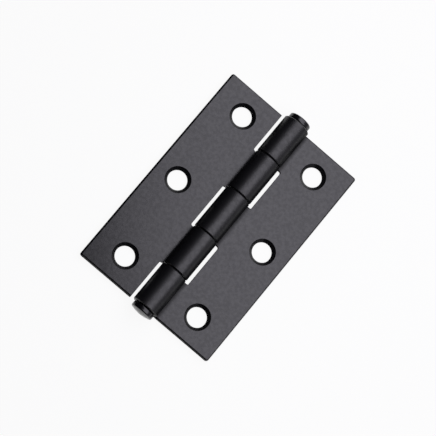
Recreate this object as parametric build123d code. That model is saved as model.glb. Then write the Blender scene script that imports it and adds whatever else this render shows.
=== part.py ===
"""Butt hinge, opened flat and resting on the backs of its two leaves.

Y runs along the pin, X points to the three-knuckle leaf and Z out of the countersunk front faces.
Z = 0 is the plane of the leaves' backs, and the origin lies under the middle of the pin.
All lengths are in millimetres and all angles in degrees.
"""
import os
from math import radians, sqrt, tan

from build123d import *

# Leaves, punched from sheet steel
leaf_length = 75.0
leaf_reach = 25.65
sheet_thickness = 2.0
leaf_corner_radius = 0.75
front_rounding = 0.6
back_bevel = 0.25

# Pin, with a low button head at each end
pin_diameter = 5.0
pin_clearance = 0.05
head_diameter = 7.6
head_height = 2.5
head_edge_rounding = 0.5
head_under_rounding = 0.7
head_crown = 0.5

# Knuckles, rolled from tongues of the sheet; the end knuckles take what is left of the length
middle_knuckle_length = 15.8
inner_knuckle_length = 14.8
knuckle_gap = 0.25
seam_gap = 0.1
three_knuckle_slot_clearance = 1.5
two_knuckle_slot_clearance = 0.8
slot_corner_radius = 0.6

# Screw holes, three in each leaf, the middle one set outward
hole_diameter = 6.5
countersink_diameter = 8.5
countersink_angle = 90.0
outer_hole_spacing = 57.7
outer_hole_reach = 14.6
middle_hole_reach = 17.35

# Sizes that follow from those above
bore_radius = pin_diameter / 2 + pin_clearance
barrel_radius = bore_radius + sheet_thickness
half_length = leaf_length / 2

# How near two places must be to count as the same place
tolerance = 0.001


def knuckle_spans():
    """The start and end of each of the five knuckles along Y, from the -Y end to the +Y end."""
    middle_end = middle_knuckle_length / 2
    inner_start = middle_end + knuckle_gap
    inner_end = inner_start + inner_knuckle_length
    end_start = inner_end + knuckle_gap
    return [
        (-half_length, -end_start),
        (-inner_end, -inner_start),
        (-middle_end, middle_end),
        (inner_start, inner_end),
        (end_start, half_length),
    ]


def rectangle(x_start, x_end, y_start, y_end):
    """A rectangle on the leaf's plane between two X places and two Y places."""
    centre = Pos((x_start + x_end) / 2, (y_start + y_end) / 2)
    return centre * Rectangle(x_end - x_start, y_end - y_start)


def corners_at(outline, x):
    """The corners of a flat outline that lie at one distance from the pin's axis."""
    return [corner for corner in outline.vertices() if abs(corner.X - x) < tolerance]


def rim_edges(body, height):
    """The outline of a leaf's flat face at one height, but for where it runs on into a knuckle."""
    face = body.faces().filter_by(Plane.XY).sort_by(lambda f: abs(f.center().Z - height))[0]
    return [edge for edge in face.outer_wire().edges() if edge.center().X > tolerance]


def slot(start, end, reach):
    """One slot between two places along Y, as the solid that is cut away."""
    outline = rectangle(-reach, reach, start, end)
    outline = fillet(corners_at(outline, reach), slot_corner_radius)
    return extrude(outline, sheet_thickness)


def blank(spans, slot_clearance):
    """The flat sheet: the leaf's plate with the straight roots of its tongues, as far as the pin.

    Its outer front edges are rounded over, and then the slots that clear the other leaf's
    knuckles are punched between and beside the tongues, which leaves their edges sharp.
    """
    outline = rectangle(0, leaf_reach, -half_length, half_length)
    outline = fillet(corners_at(outline, leaf_reach), leaf_corner_radius)
    sheet = extrude(outline, sheet_thickness)
    sheet = fillet(rim_edges(sheet, sheet_thickness), front_rounding)
    past_leaf = half_length + 2 * slot_corner_radius
    places = [-past_leaf] + [place for span in spans for place in span] + [past_leaf]
    for start, end in zip(places[0::2], places[1::2]):
        if end > tolerance - half_length and start < half_length - tolerance:
            sheet -= slot(start, end, barrel_radius + slot_clearance)
    return sheet


def curl(start, end):
    """The rolled part of one tongue: from under the pin, round it, and down to the front face.

    Its end is cut square to the sheet and stops just above the leaf, with the seam gap between them.
    """
    drop = barrel_radius - sheet_thickness - seam_gap
    across = sqrt(barrel_radius**2 - drop**2)
    centre = (0, 0)
    below = (0, -2 * barrel_radius)
    beside = (2 * across, -2 * barrel_radius)
    past_tongue_end = (2 * across, -2 * drop)
    open_part = make_face(Polyline(centre, below, beside, past_tongue_end, close=True))
    ring = Circle(barrel_radius) - Circle(bore_radius)
    end_face = Plane((0, end, barrel_radius), x_dir=(1, 0, 0), z_dir=(0, -1, 0))
    return extrude(end_face * (ring - open_part), end - start)


def screw_hole(x, y):
    """One through hole with its countersink, as the solid that is cut away."""
    radius = hole_diameter / 2
    top_radius = countersink_diameter / 2
    depth = (top_radius - radius) / tan(radians(countersink_angle / 2))
    low = (Align.CENTER, Align.CENTER, Align.MIN)
    high = (Align.CENTER, Align.CENTER, Align.MAX)
    through = Pos(x, y, 0) * Cylinder(radius, sheet_thickness, align=low)
    cone = Pos(x, y, sheet_thickness) * Cone(radius, top_radius, depth, align=high)
    return through + cone


def leaf(spans, slot_clearance):
    """One leaf on the +X side: plate, knuckles and screw holes.

    The bevel of the plate's back edges runs on round the rims of the knuckles.
    """
    body = blank(spans, slot_clearance)
    for start, end in spans:
        body += curl(start, end)
    body = chamfer(rim_edges(body, 0), back_bevel)
    body -= screw_hole(middle_hole_reach, 0)
    for side in (-1, 1):
        body -= screw_hole(outer_hole_reach, side * outer_hole_spacing / 2)
    return body


def head():
    """One button head, standing on the XY plane: rounded under and over its side, and crowned."""
    radius = head_diameter / 2
    foot_radius = radius - head_under_rounding
    face_radius = radius - head_edge_rounding
    face_height = head_height - head_crown
    side_top = (radius, face_height - head_edge_rounding)
    side_bottom = (radius, head_under_rounding)
    outline = [
        Line((0, 0), (foot_radius, 0)),
        RadiusArc((foot_radius, 0), side_bottom, -head_under_rounding),
        Line(side_bottom, side_top),
        RadiusArc(side_top, (face_radius, face_height), -head_edge_rounding),
        TangentArc((0, head_height), (face_radius, face_height), tangent=(1, 0)),
        Line((0, head_height), (0, 0)),
    ]
    profile = Plane.XZ * make_face(outline)
    return revolve(profile, Axis.Z)


def pin():
    """The pin: a round shank as long as the leaves, and a button head beyond each end."""
    shank = Cylinder(pin_diameter / 2, leaf_length)
    top = Pos(0, 0, half_length) * head()
    upright = shank + top + mirror(top, Plane.XY)
    return Pos(0, 0, barrel_radius) * Rot(-90, 0, 0) * upright


def main():
    """Write one file for each physical piece."""
    spans = knuckle_spans()
    os.makedirs("parts", exist_ok=True)
    three_knuckle_leaf = leaf(spans[0::2], three_knuckle_slot_clearance)
    two_knuckle_leaf = mirror(leaf(spans[1::2], two_knuckle_slot_clearance), Plane.YZ)
    export_step(three_knuckle_leaf, "parts/three_knuckle_leaf.step")
    export_step(two_knuckle_leaf, "parts/two_knuckle_leaf.step")
    export_step(pin(), "parts/hinge_pin.step")


main()
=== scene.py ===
"""Butt hinge in black powder coat, lying open on its back on a white table under one large soft light.

Lengths are in metres unless a name ends in _mm, and angles are in degrees.
Y runs along the pin, X points to the three-knuckle leaf and Z out of the countersunk faces.
"""

from math import cos, pi, radians, sin

import bmesh
import bpy
from mathutils import Matrix, Quaternion, Vector


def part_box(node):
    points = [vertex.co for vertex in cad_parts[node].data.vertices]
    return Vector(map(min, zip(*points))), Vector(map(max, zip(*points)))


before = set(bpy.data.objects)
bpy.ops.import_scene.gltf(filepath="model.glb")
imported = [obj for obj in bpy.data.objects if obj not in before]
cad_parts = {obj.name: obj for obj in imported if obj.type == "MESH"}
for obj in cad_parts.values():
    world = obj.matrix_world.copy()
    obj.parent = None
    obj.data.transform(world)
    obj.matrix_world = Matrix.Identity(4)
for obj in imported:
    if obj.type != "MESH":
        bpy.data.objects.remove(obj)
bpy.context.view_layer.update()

# The two leaves: 2 mm mild steel, punched flat, their tongues rolled round the pin. The sprayed and
# baked black powder coat has a faint orange peel, glossier on its crests. Painted shade darkens the
# punched walls and the barrel's foot on the three-knuckle leaf: a blacker colour with no gloss.
MM = 0.001
coat_black = (0.0036, 0.0036, 0.0044, 1)
coat_black_thin = (0.0045, 0.0045, 0.0054, 1)
coat_index = 1.5
plate_roughness = 0.25
knuckle_roughness = 0.40
roughness_spread = 0.05
cloud_size = 9 * MM
peel_size = 1.1 * MM
peel_depth = 0.010 * MM
crest_start = 0.32
crest_full = 0.68
crest_gloss = 0.22
grain_size = 0.35 * MM
grain_depth = 0.0008 * MM
grain_detail = 3.0

# Where the knuckles end and the plate starts, as distances from the pin's axis across the leaf
barrel_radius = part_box("three_knuckle_leaf")[1].z / 2
plate_start = 1.05 * barrel_radius

# The painted shade: walls are told by how little their normal rises, the foot by its place across
painted_shade_black = (0.0020, 0.0020, 0.0024, 1)
wall_roughness = 0.9
wall_rise = 0.25
plate_rise = 0.50
# How strongly painted shade darkens the plate along the barrel's foot, and where it rises and fades
foot_shade_strength = 0.65
foot_start = 0.60 * barrel_radius
foot_full = 0.84 * barrel_radius
foot_fade = 1.05 * barrel_radius
foot_end = 1.35 * barrel_radius


class Value:
    """A number that a finish reckons with: each sum or product adds the Math node that does it."""

    def __init__(self, finish, socket):
        self.finish, self.socket = finish, socket

    def reckon(self, operation, *terms):
        settings = {"operation": operation}
        return self.finish.node("ShaderNodeMath", settings, dict(enumerate(terms)))["Value"]

    def __add__(self, other):
        return self.reckon("ADD", self, other)

    def __sub__(self, other):
        return self.reckon("SUBTRACT", self, other)

    def __rsub__(self, other):
        return self.reckon("SUBTRACT", other, self)

    def __mul__(self, other):
        return self.reckon("MULTIPLY", self, other)

    def __abs__(self):
        return self.reckon("ABSOLUTE", self)

    __radd__ = __add__
    __rmul__ = __mul__


class Finish:
    """The node tree of one material, or of the world, while it is put together."""

    def __init__(self, owner):
        owner.use_nodes = True
        self.tree = owner.node_tree
        self.tree.nodes.clear()

    def node(self, kind, settings=None, inputs=None):
        """Adds a node, makes its settings, then fills its sockets with values or links."""
        made = self.tree.nodes.new(kind)
        for name, setting in (settings or {}).items():
            setattr(made, name, setting)
        for key, value in (inputs or {}).items():
            if isinstance(key, str):
                socket = next(s for s in made.inputs if s.enabled and s.name == key)
            else:
                socket = made.inputs[key]
            if isinstance(value, Value):
                self.tree.links.new(value.socket, socket)
            else:
                socket.default_value = value
        return {s.name: Value(self, s) for s in made.outputs if s.enabled}

    def step(self, value, low, high):
        """0 below low, 1 above high and a smooth rise between them."""
        return self.node(
            "ShaderNodeMapRange",
            {"interpolation_type": "SMOOTHSTEP"},
            {"Value": value, "From Min": low, "From Max": high},
        )["Result"]

    def noise(self, place, size, detail=2.0):
        """Soft random mottling between 0 and 1, with blots of about one size."""
        return self.node(
            "ShaderNodeTexNoise",
            inputs={"Vector": place, "Scale": 1 / size, "Detail": detail, "Roughness": 0.5},
        )["Fac"]

    def blend(self, factor, first, second):
        """A colour between two others."""
        return self.node(
            "ShaderNodeMix", {"data_type": "RGBA"}, {"Factor": factor, "A": first, "B": second}
        )["Result"]

    def mix(self, factor, first, second):
        """A shader between two others."""
        return self.node("ShaderNodeMixShader", inputs={"Fac": factor, 1: first, 2: second})["Shader"]


def coat(name, middle_roughness, has_painted_shade):
    """Black powder coat, with its own roughness as far as the barrel's radius from the pin's axis.

    Where the last argument is true, the plate's upright walls and the barrel's foot get painted shade.
    """
    material = bpy.data.materials.new(name)
    finish = Finish(material)
    place = finish.node("ShaderNodeTexCoord")["Object"]
    cloud = finish.noise(place, cloud_size)
    peel = finish.noise(place, peel_size)
    grain = finish.noise(place, grain_size, grain_detail)
    height = peel * peel_depth + grain * grain_depth
    surface = finish.node(
        "ShaderNodeBump", inputs={"Strength": 1.0, "Distance": 1.0, "Height": height}
    )["Normal"]
    x = finish.node("ShaderNodeSeparateXYZ", inputs={"Vector": place})["X"]
    plate = finish.step(abs(x), barrel_radius, plate_start)
    roughness = middle_roughness + (plate_roughness - middle_roughness) * plate
    shader = finish.node(
        "ShaderNodeBsdfPrincipled",
        inputs={
            "Base Color": finish.blend(cloud, coat_black, coat_black_thin),
            "Roughness": roughness + roughness_spread * (cloud - 0.5),
            "IOR": coat_index,
            "Coat Weight": crest_gloss * finish.step(peel, crest_start, crest_full),
            "Coat Roughness": plate_roughness,
            "Normal": surface,
        },
    )["BSDF"]
    if has_painted_shade:
        # Painted shade: the walls and the barrel's foot are made blacker and mirror nothing.
        facing = finish.node("ShaderNodeTexCoord")["Normal"]
        rise = abs(finish.node("ShaderNodeSeparateXYZ", inputs={"Vector": facing})["Z"])
        wall = plate * (1 - finish.step(rise, wall_rise, plate_rise))
        # Painted shade along the barrel's foot on the three-knuckle leaf, where the barrel shades the
        # plate.
        foot = finish.step(x, foot_start, foot_full) * (1 - finish.step(x, foot_fade, foot_end))
        painted_shade_bsdf = finish.node(
            "ShaderNodeBsdfPrincipled",
            inputs={
                "Base Color": finish.blend(grain, painted_shade_black, coat_black),
                "Roughness": wall_roughness,
                "Specular IOR Level": 0.0,
                "Normal": surface,
            },
        )["BSDF"]
        shader = finish.mix(1 - (1 - wall) * (1 - foot_shade_strength * foot), shader, painted_shade_bsdf)
    finish.node("ShaderNodeOutputMaterial", inputs={"Surface": shader})
    return material


leaf_coat = coat("leaf_coat", knuckle_roughness, True)
for name in ("three_knuckle_leaf", "two_knuckle_leaf"):
    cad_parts[name].material_slots[0].material = leaf_coat

# The pin: a steel rod through all five knuckles, a low button head closing each end.
# It is fitted before the hinge is coated, so its heads carry the same black powder.
pin_roughness = 0.22

pin_coat = coat("pin_coat", pin_roughness, False)
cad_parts["hinge_pin"].material_slots[0].material = pin_coat

# The table top: a large matt white board, so white that only a faint shadow shows on it.
# It isn't part of the hinge, and it lies a hair below it, so that no two faces share a plane.
board_reach = 3.0
board_drop = 0.1 * MM
board_white = (0.9, 0.9, 0.9, 1)
pure_white = (1, 1, 1, 1)
shadow_share = 0.08


def sheet(name, corner, side, rise, material):
    """A flat rectangle of the stage, with one corner and two sides given as vectors."""
    corner, side, rise = Vector(corner), Vector(side), Vector(rise)
    shape = bmesh.new()
    outline = (corner, corner + side, corner + side + rise, corner + rise)
    shape.faces.new([shape.verts.new(place) for place in outline])
    mesh = bpy.data.meshes.new(name)
    shape.to_mesh(mesh)
    shape.free()
    made = bpy.data.objects.new(name, mesh)
    made.data.materials.append(material)
    bpy.context.scene.collection.objects.link(made)
    return made


board_paint = bpy.data.materials.new("board_white")
finish = Finish(board_paint)
path = finish.node("ShaderNodeLightPath")
seen = path["Is Camera Ray"] + path["Is Glossy Ray"] + path["Is Transmission Ray"]
painted = finish.node("ShaderNodeBsdfDiffuse", inputs={"Color": board_white})["BSDF"]
white = finish.node("ShaderNodeEmission", inputs={"Color": pure_white, "Strength": 1.0})["Emission"]
shader = finish.mix(seen * (1 - shadow_share), painted, white)
finish.node("ShaderNodeOutputMaterial", inputs={"Surface": shader})
board_corner = (-board_reach, -board_reach, -board_drop)
sheet("board", board_corner, (2 * board_reach, 0, 0), (0, 2 * board_reach, 0), board_paint)

# The camera: above the hinge, leaning a little to its near end and to the two-knuckle leaf,
# and turned so that the pin runs from the lower left to the upper right.
aim = Vector((-0.026, -0.589, 0)) * MM
camera_distance = 560.8 * MM
camera_tilt = 12.21
camera_azimuth = 18.8
camera_roll = 59.0
focal_length_mm = 148.6
sensor_width_mm = 36.0

back = Vector(
    (
        -sin(radians(camera_tilt)) * sin(radians(camera_azimuth)),
        -sin(radians(camera_tilt)) * cos(radians(camera_azimuth)),
        cos(radians(camera_tilt)),
    )
)
lens = bpy.data.cameras.new("camera")
lens.lens = focal_length_mm
lens.sensor_width = sensor_width_mm
camera = bpy.data.objects.new("camera", lens)
camera.location = aim + back * camera_distance
camera.rotation_mode = "QUATERNION"
roll = Quaternion((0, 0, 1), radians(camera_roll))
camera.rotation_quaternion = back.to_track_quat("Z", "Y") @ roll
bpy.context.scene.collection.objects.link(camera)
bpy.context.scene.camera = camera
bpy.context.scene.view_settings.view_transform = "Standard"

# The light: one soft box close above the hinge, its long side up the picture, in a plain grey room.
# Both are a shade bluer than white, and the black coat mirrors them.
box_width = 171 * MM
box_length = 374 * MM
box_distance = 200 * MM
box_lean_x = 0.243
box_lean_y = 0.334
box_radiance = 2.27
box_colour = (0.927, 0.903, 1.0)
room_grey = (0.246, 0.239, 0.264, 1)

towards = Vector((box_lean_x, box_lean_y, 1)).normalized()
picture_right = camera.rotation_quaternion @ Vector((1, 0, 0))
across = (picture_right - towards * picture_right.dot(towards)).normalized()
lamp = bpy.data.lights.new("soft_box", "AREA")
lamp.shape = "RECTANGLE"
lamp.size, lamp.size_y = box_width, box_length
lamp.energy = box_radiance * pi * box_width * box_length
lamp.color = box_colour
soft_box = bpy.data.objects.new("soft_box", lamp)
soft_box.location = towards * box_distance
soft_box.rotation_mode = "QUATERNION"
turned = Matrix((across, towards.cross(across), towards)).transposed()
soft_box.rotation_quaternion = turned.to_quaternion()
bpy.context.scene.collection.objects.link(soft_box)

world = bpy.data.worlds.new("room")
bpy.context.scene.world = world
finish = Finish(world)
room = finish.node("ShaderNodeBackground", inputs={"Color": room_grey, "Strength": 1.0})["Background"]
finish.node("ShaderNodeOutputWorld", inputs={"Surface": room})

# Three matt black boards keep stray light off, all of them out of the camera's sight: one on the
# left, one towards the camera, and a card on the table beside the two-knuckle leaf, which shows in
# the coat's gloss only.
flag_black = (0.003, 0.003, 0.003, 1)
flag_distance = 0.5
flag_reach = 1.5
flag_height = 1.6
left_flag_end = 0.7
near_flag_end = 0.5
card_gap = 0.8 * MM
card_drop = 0.05 * MM

felt = bpy.data.materials.new("flag_black")
finish = Finish(felt)
shader = finish.node("ShaderNodeBsdfDiffuse", inputs={"Color": flag_black})["BSDF"]
finish.node("ShaderNodeOutputMaterial", inputs={"Surface": shader})

up = (0, 0, flag_height)
left_corner = (-flag_distance, -flag_reach, 0)
near_corner = (-flag_reach, -flag_distance, 0)
card_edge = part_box("two_knuckle_leaf")[0].x - card_gap
card_corner = (card_edge, -flag_reach, -card_drop)
card_width = (-flag_distance - card_edge, 0, 0)
card_length = (0, 2 * flag_reach, 0)
left_flag = sheet("left_flag", left_corner, (0, flag_reach + left_flag_end, 0), up, felt)
near_flag = sheet("near_flag", near_corner, (flag_reach + near_flag_end, 0, 0), up, felt)
card = sheet("lying_card", card_corner, card_width, card_length, felt)
for flag in (left_flag, near_flag, card):
    flag.visible_camera = False
card.visible_shadow = False
card.visible_diffuse = False
